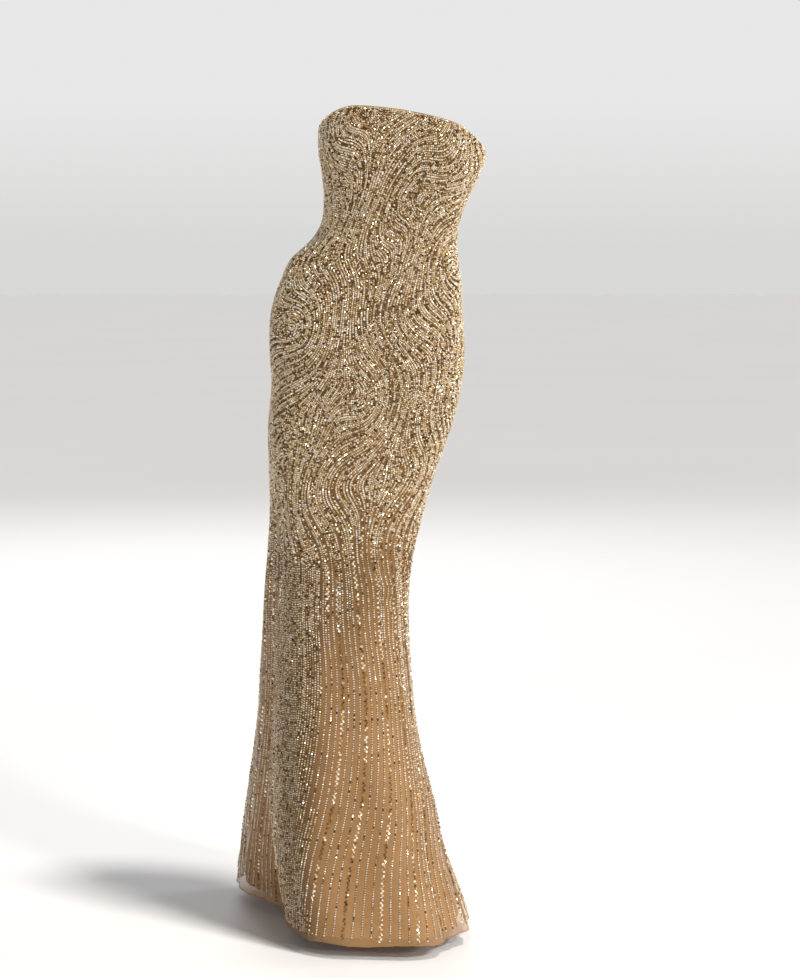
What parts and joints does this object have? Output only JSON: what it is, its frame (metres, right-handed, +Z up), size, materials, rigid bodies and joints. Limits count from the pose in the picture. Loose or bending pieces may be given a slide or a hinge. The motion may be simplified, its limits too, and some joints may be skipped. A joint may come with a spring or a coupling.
{
  "type": "column gown",
  "caption": "Floor-length strapless column gown with a beaded shell over a plain lining and a concealed zip at the back, kept hollow in the shape it takes when worn.",
  "frame": {"origin": "inside the bodice, level with the bust line, where the body that wears the gown holds it up", "axes": "+Z up, -Y towards the front, +X to the right as seen from the front"},
  "size_m": [0.4343, 0.5354, 1.3579],
  "materials": {
    "beaded_net": "bronze-gold net, closely beaded",
    "lining": "plain tan satin lining",
    "zip_tape": "woven tape",
    "zip_metal": "satin antique gold"
  },
  "bodies": {
    "gown": {"front": "beaded_net", "back_left": "beaded_net", "back_right": "beaded_net", "lining_front": "lining", "lining_back": "lining", "zip_tape": "zip_tape", "zip_slider": "zip_metal"},
    "zip_tab": {"zip_pull": "zip_metal"}
  },
  "joints": [
    {"name": "zip_tab_swing", "type": "hinge", "parent": "gown", "child": "zip_tab", "pos_m": [0.00409, 0.08932, -0.00405], "axis": [0.9989, -0.0108, -0.0456], "range_deg": [-12, 150]}
  ]
}
